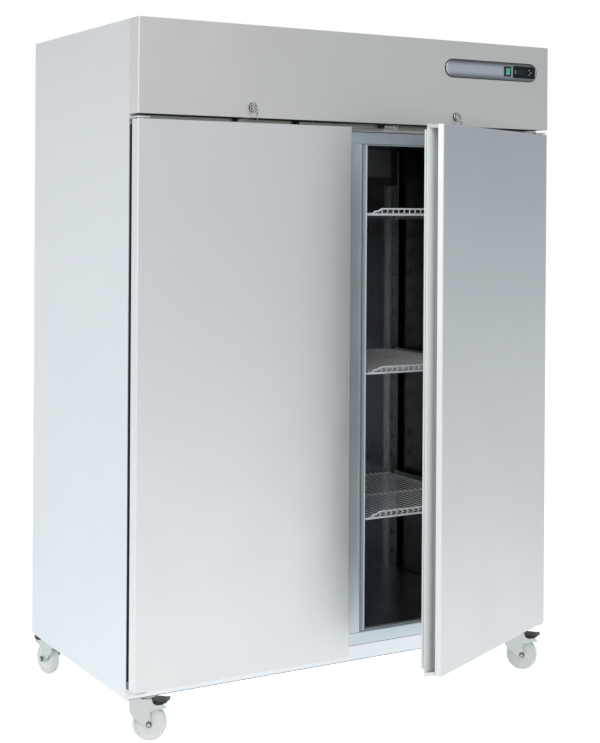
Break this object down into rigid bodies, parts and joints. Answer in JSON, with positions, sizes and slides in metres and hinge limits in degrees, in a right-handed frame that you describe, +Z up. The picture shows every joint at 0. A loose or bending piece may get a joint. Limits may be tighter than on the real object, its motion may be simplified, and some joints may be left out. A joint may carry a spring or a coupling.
{
  "type": "upright freezer",
  "caption": "Tall two-door storage freezer on castors, with wire shelves inside, a control panel and locks in the header, and full-height finger grips on the doors.",
  "frame": {"origin": "on the floor, under the middle of the front plane of the closed doors and header", "axes": "+X to the viewer's right, +Y from the front towards the back, +Z up"},
  "size_m": [1.5091, 1.1709, 2.08],
  "materials": {
    "steel_side": "satin stainless sheet, fine upright grain",
    "steel_front": "satin stainless sheet, fine upright grain",
    "steel_frame": "satin stainless sheet",
    "steel_plinth": "satin stainless sheet, fine level grain",
    "galvanised": "galvanised sheet steel with a faint spangle",
    "foam": "rigid insulation foam, hidden",
    "liner": "satin stainless sheet",
    "mullion_grey": null,
    "strip_grey": "mid grey extruded plastic",
    "door_inner": null,
    "gasket": "soft grey magnetic gasket",
    "bush": "off-white nylon",
    "steel": "zinc plated steel",
    "rack": "stainless steel",
    "shelf_white": "white plastic coated wire",
    "bezel": "brushed blue grey metal",
    "black_plastic": "black moulded plastic",
    "rocker_green": "clear green lit plastic",
    "button_grey": "grey keys",
    "chrome": "polished chrome plate",
    "fins": "thin aluminium fins",
    "black_shell": "black enamelled steel",
    "fan_black": "black moulded fan",
    "wheel_white": "white nylon",
    "pedal": "black moulded plastic"
  },
  "bodies": {
    "cabinet": {"left_side_panel": "steel_side", "right_side_panel": "steel_side", "rear_and_deck_panel": "galvanised", "base_pan": "steel_plinth", "foam_walls": "foam", "inner_liner": "liner", "front_frame": "steel_frame", "mullion": "mullion_grey", "breaker_strips": "strip_grey", "header_panel": "steel_front", "top_cover": "galvanised", "compressor": "black_shell", "condenser": "fins", "electrical_box": "galvanised", "evaporator": "fins", "evaporator_cover": "steel_frame", "rack_posts": "rack", "shelf_runners": "rack", "hinge_brackets": "steel", "control_bezel": "bezel", "control_housings": "black_plastic", "lock_housings": "chrome", "castor_plates": "steel"},
    "left_door": {"left_door_skin": "steel_front", "left_door_core": "door_inner", "left_door_gasket": "gasket", "left_door_bushes": "bush"},
    "left_lock": {"left_lock_cylinder": "chrome", "left_keys": "chrome"},
    "left_evaporator_fan": {"left_evaporator_fan": "fan_black"},
    "right_door": {"right_door_skin": "steel_front", "right_door_core": "door_inner", "right_door_gasket": "gasket", "right_door_bushes": "bush"},
    "right_lock": {"right_lock_cylinder": "chrome", "right_keys": "chrome"},
    "right_evaporator_fan": {"right_evaporator_fan": "fan_black"},
    "condenser_fan": {"condenser_fan": "fan_black"},
    "rocker_switch": {"rocker_switch": "rocker_green"},
    "set_button": {"set_button": "button_grey"},
    "up_button": {"up_button": "button_grey"},
    "down_button": {"down_button": "button_grey"},
    "left_bottom_shelf": {"left_bottom_shelf": "shelf_white"},
    "left_middle_shelf": {"left_middle_shelf": "shelf_white"},
    "left_top_shelf": {"left_top_shelf": "shelf_white"},
    "right_bottom_shelf": {"right_bottom_shelf": "shelf_white"},
    "right_middle_shelf": {"right_middle_shelf": "shelf_white"},
    "right_top_shelf": {"right_top_shelf": "shelf_white"},
    "front_left_swivel": {"front_left_fork": "steel"},
    "front_left_wheel": {"front_left_wheel": "wheel_white"},
    "front_left_pedal": {"front_left_pedal": "pedal"},
    "front_right_swivel": {"front_right_fork": "steel"},
    "front_right_wheel": {"front_right_wheel": "wheel_white"},
    "front_right_pedal": {"front_right_pedal": "pedal"},
    "rear_left_swivel": {"rear_left_fork": "steel"},
    "rear_left_wheel": {"rear_left_wheel": "wheel_white"},
    "rear_left_pedal": {"rear_left_pedal": "pedal"},
    "rear_right_swivel": {"rear_right_fork": "steel"},
    "rear_right_wheel": {"rear_right_wheel": "wheel_white"},
    "rear_right_pedal": {"rear_right_pedal": "pedal"}
  },
  "joints": [
    {"name": "left_door_hinge", "type": "hinge", "parent": "cabinet", "child": "left_door", "pos_m": [-0.722, 0.018, 0.981], "axis": [0, 0, 1], "range_deg": [-110, 0]},
    {"name": "right_door_hinge", "type": "hinge", "parent": "cabinet", "child": "right_door", "pos_m": [0.722, 0.018, 0.981], "axis": [0, 0, 1], "range_deg": [-25.5, 84.5]},
    {"name": "left_lock_turn", "type": "hinge", "parent": "cabinet", "child": "left_lock", "pos_m": [-0.3735, 0, 1.837], "axis": [0, 1, 0], "range_deg": [0, 90]},
    {"name": "right_lock_turn", "type": "hinge", "parent": "cabinet", "child": "right_lock", "pos_m": [0.366, 0, 1.837], "axis": [0, 1, 0], "range_deg": [0, 90]},
    {"name": "rocker_tilt", "type": "hinge", "parent": "cabinet", "child": "rocker_switch", "pos_m": [0.567, -0.002, 1.993], "axis": [1, 0, 0], "range_deg": [-8, 0]},
    {"name": "set_button_press", "type": "slide", "parent": "cabinet", "child": "set_button", "axis": [0, 1, 0], "range_m": [0, 0.0008], "stiffness_N_per_m": 400, "springref_m": -0.001},
    {"name": "up_button_press", "type": "slide", "parent": "cabinet", "child": "up_button", "axis": [0, 1, 0], "range_m": [0, 0.0008], "stiffness_N_per_m": 400, "springref_m": -0.001},
    {"name": "down_button_press", "type": "slide", "parent": "cabinet", "child": "down_button", "axis": [0, 1, 0], "range_m": [0, 0.0008], "stiffness_N_per_m": 400, "springref_m": -0.001},
    {"name": "left_bottom_shelf_slide", "type": "slide", "parent": "cabinet", "child": "left_bottom_shelf", "axis": [0, -1, 0], "range_m": [0, 0.03]},
    {"name": "left_middle_shelf_slide", "type": "slide", "parent": "cabinet", "child": "left_middle_shelf", "axis": [0, -1, 0], "range_m": [0, 0.03]},
    {"name": "left_top_shelf_slide", "type": "slide", "parent": "cabinet", "child": "left_top_shelf", "axis": [0, -1, 0], "range_m": [0, 0.03]},
    {"name": "right_bottom_shelf_slide", "type": "slide", "parent": "cabinet", "child": "right_bottom_shelf", "axis": [0, -1, 0], "range_m": [0, 0.03]},
    {"name": "right_middle_shelf_slide", "type": "slide", "parent": "cabinet", "child": "right_middle_shelf", "axis": [0, -1, 0], "range_m": [0, 0.03]},
    {"name": "right_top_shelf_slide", "type": "slide", "parent": "cabinet", "child": "right_top_shelf", "axis": [0, -1, 0], "range_m": [0, 0.03]},
    {"name": "front_left_swivel_turn", "type": "hinge", "parent": "cabinet", "child": "front_left_swivel", "pos_m": [-0.685, 0.11, 0.12], "axis": [0, 0, 1], "continuous": true},
    {"name": "front_left_wheel_roll", "type": "hinge", "parent": "front_left_swivel", "child": "front_left_wheel", "pos_m": [-0.65176, 0.09158, 0.05], "axis": [0.4848, 0.8746, 0], "continuous": true},
    {"name": "front_left_pedal_press", "type": "hinge", "parent": "front_left_swivel", "child": "front_left_pedal", "pos_m": [-0.63252, 0.08091, 0.104], "axis": [0.4848, 0.8746, 0], "range_deg": [0, 7]},
    {"name": "front_right_swivel_turn", "type": "hinge", "parent": "cabinet", "child": "front_right_swivel", "pos_m": [0.685, 0.11, 0.12], "axis": [0, 0, 1], "continuous": true},
    {"name": "front_right_wheel_roll", "type": "hinge", "parent": "front_right_swivel", "child": "front_right_wheel", "pos_m": [0.71494, 0.08661, 0.05], "axis": [0.6157, 0.788, 0], "continuous": true},
    {"name": "front_right_pedal_press", "type": "hinge", "parent": "front_right_swivel", "child": "front_right_pedal", "pos_m": [0.73228, 0.07306, 0.104], "axis": [0.6157, 0.788, 0], "range_deg": [0, 7]},
    {"name": "rear_left_swivel_turn", "type": "hinge", "parent": "cabinet", "child": "rear_left_swivel", "pos_m": [-0.685, 0.776, 0.12], "axis": [0, 0, 1], "continuous": true},
    {"name": "rear_left_wheel_roll", "type": "hinge", "parent": "rear_left_swivel", "child": "rear_left_wheel", "pos_m": [-0.69095, 0.81353, 0.05], "axis": [-0.9877, -0.1564, 0], "continuous": true},
    {"name": "rear_left_pedal_press", "type": "hinge", "parent": "rear_left_swivel", "child": "rear_left_pedal", "pos_m": [-0.69439, 0.83526, 0.104], "axis": [-0.9877, -0.1564, 0], "range_deg": [0, 7]},
    {"name": "rear_right_swivel_turn", "type": "hinge", "parent": "cabinet", "child": "rear_right_swivel", "pos_m": [0.685, 0.776, 0.12], "axis": [0, 0, 1], "continuous": true},
    {"name": "rear_right_wheel_roll", "type": "hinge", "parent": "rear_right_swivel", "child": "rear_right_wheel", "pos_m": [0.67326, 0.81214, 0.05], "axis": [-0.9511, -0.309, 0], "continuous": true},
    {"name": "rear_right_pedal_press", "type": "hinge", "parent": "rear_right_swivel", "child": "rear_right_pedal", "pos_m": [0.66646, 0.83306, 0.104], "axis": [-0.9511, -0.309, 0], "range_deg": [0, 7]},
    {"name": "condenser_fan_spin", "type": "hinge", "parent": "cabinet", "child": "condenser_fan", "pos_m": [0.23976, 0.48, 1.935], "axis": [0, 1, 0], "continuous": true},
    {"name": "left_evaporator_fan_spin", "type": "hinge", "parent": "cabinet", "child": "left_evaporator_fan", "pos_m": [-0.25, 0.664, 1.67], "axis": [0, 0, 1], "continuous": true},
    {"name": "right_evaporator_fan_spin", "type": "hinge", "parent": "cabinet", "child": "right_evaporator_fan", "pos_m": [0.25, 0.664, 1.67], "axis": [0, 0, 1], "continuous": true}
  ]
}
